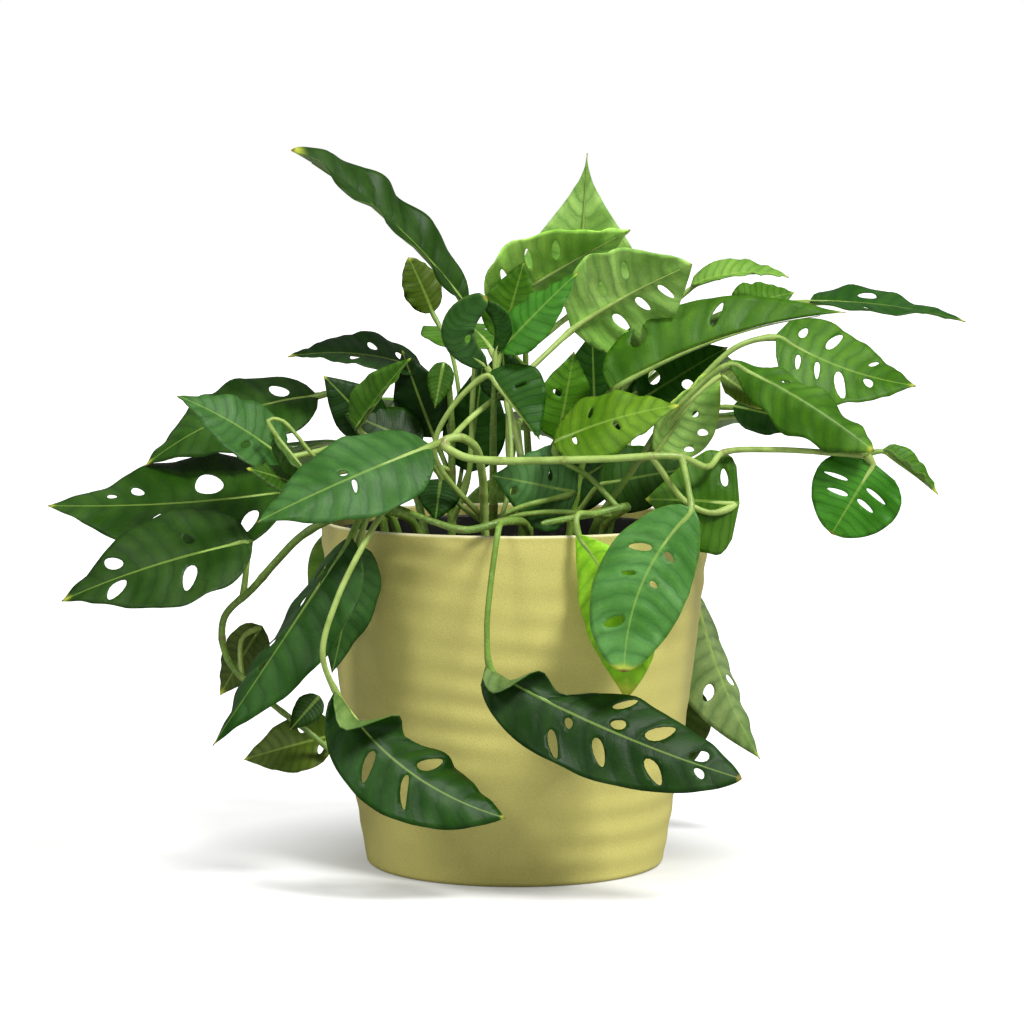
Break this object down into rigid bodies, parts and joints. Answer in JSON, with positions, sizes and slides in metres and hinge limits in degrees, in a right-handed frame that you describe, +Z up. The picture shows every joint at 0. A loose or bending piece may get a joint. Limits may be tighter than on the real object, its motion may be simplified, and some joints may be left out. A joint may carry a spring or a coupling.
{
  "type": "potted plant",
  "caption": "Swiss cheese vine with perforated pointed leaves on thin arching and trailing stems, rooted in soil inside a tapered round matt yellow-green pot.",
  "frame": {"origin": "centre of the pot's flat underside", "axes": "+Z up along the pot's axis; -Y towards the plant's front, where leaves hang over the rim; +X to the right"},
  "size_m": [0.5201, 0.3669, 0.4024],
  "materials": {
    "pot": "matt, finely speckled, yellow-green",
    "grow_pot": "dull black",
    "soil": "rough, crumbly, damp",
    "foliage": "semi-gloss green, paler undersides"
  },
  "bodies": {
    "root": {"pot": "pot", "grow_pot": "grow_pot", "soil": "soil", "vine_left_low": "foliage", "vine_left_high": "foliage", "vine_upper_left": "foliage", "vine_front_left": "foliage", "vine_front": "foliage", "vine_runner": "foliage", "vine_front_right": "foliage", "vine_centre": "foliage", "vine_top": "foliage", "vine_right": "foliage", "vine_right_high": "foliage", "vine_back_right": "foliage", "vine_back": "foliage", "vine_back_left": "foliage"}
  },
  "joints": []
}
